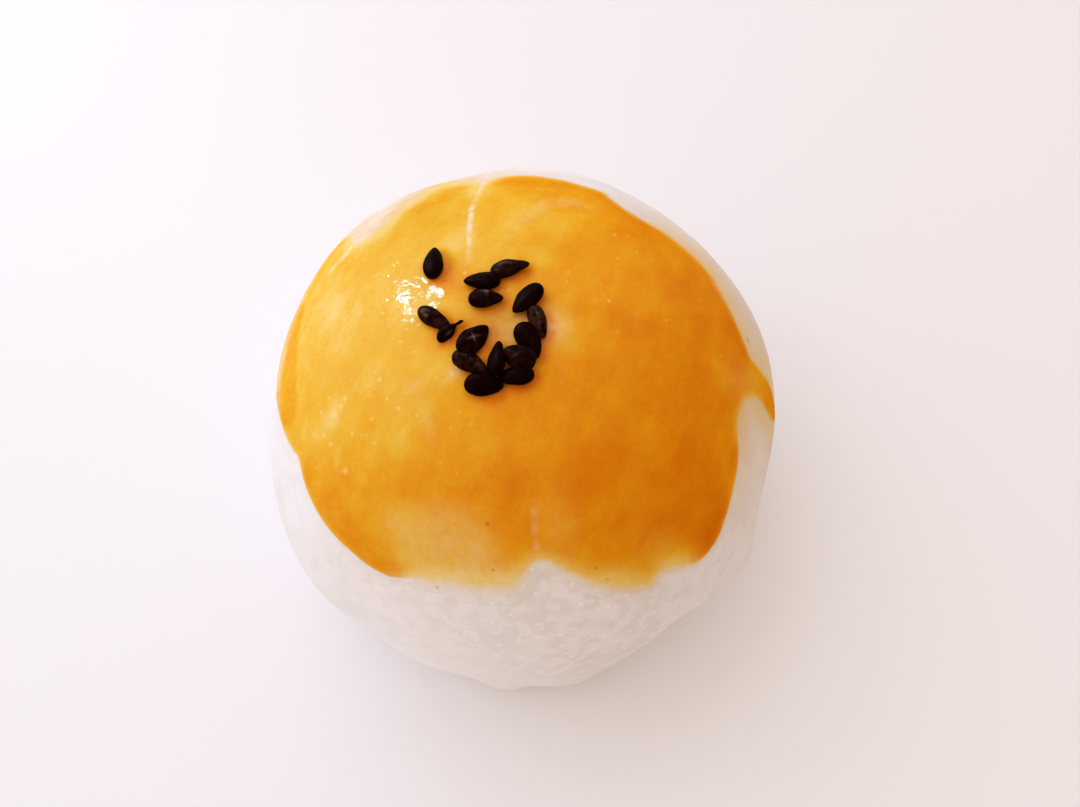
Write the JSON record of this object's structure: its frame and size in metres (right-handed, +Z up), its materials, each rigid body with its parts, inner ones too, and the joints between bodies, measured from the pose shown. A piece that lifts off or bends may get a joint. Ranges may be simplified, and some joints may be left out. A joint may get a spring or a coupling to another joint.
{
  "type": "egg yolk pastry",
  "caption": "Round baked egg yolk pastry: a pale dough dome with golden egg glaze brushed over its crown and black sesame seeds on top.",
  "frame": {"origin": "middle of the outline's box, on the flat underside that the pastry rests on", "axes": "+Z up through the crown, +X to the right and -Y towards the viewer of the reference picture"},
  "size_m": [0.053, 0.0554, 0.0371],
  "materials": {
    "pastry": "baked flaky dough, milky white and matt",
    "egg_glaze": "brushed and baked egg yolk glaze, golden orange with a soft gloss",
    "black_sesame": "black sesame husk, satin"
  },
  "bodies": {
    "root": {"pastry": "pastry"}
  },
  "joints": []
}
